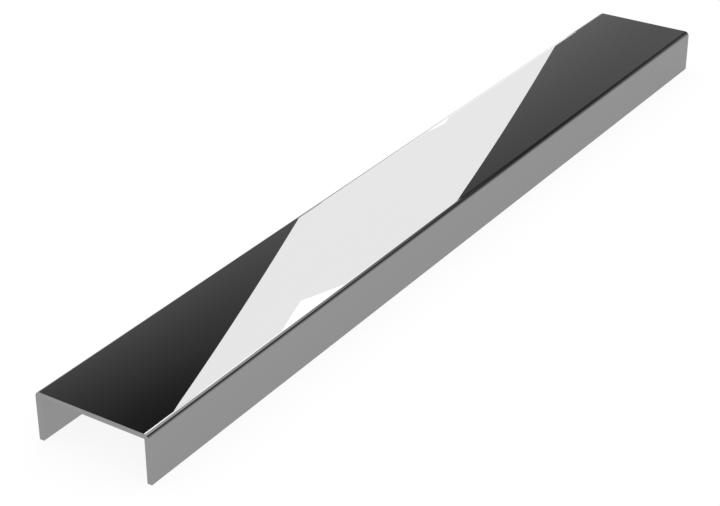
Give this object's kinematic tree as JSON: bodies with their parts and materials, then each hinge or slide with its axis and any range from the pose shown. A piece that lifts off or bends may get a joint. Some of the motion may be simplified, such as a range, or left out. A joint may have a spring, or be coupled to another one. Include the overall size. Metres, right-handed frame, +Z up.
{
  "type": "stainless steel trim profile",
  "caption": "U-shaped trim profile folded from polished stainless sheet: a flat show face between two short flanges, square-cut ends, to cap a panel edge or be bedded between tiles.",
  "frame": {"origin": "the middle of the footprint, on the plane that both flange edges stand on", "axes": "+X along the length, +Y across the width, +Z up out of the show face"},
  "size_m": [0.214, 0.025, 0.01],
  "materials": {
    "polished_stainless": "polished"
  },
  "bodies": {
    "root": {"trim_profile": "polished_stainless"}
  },
  "joints": []
}
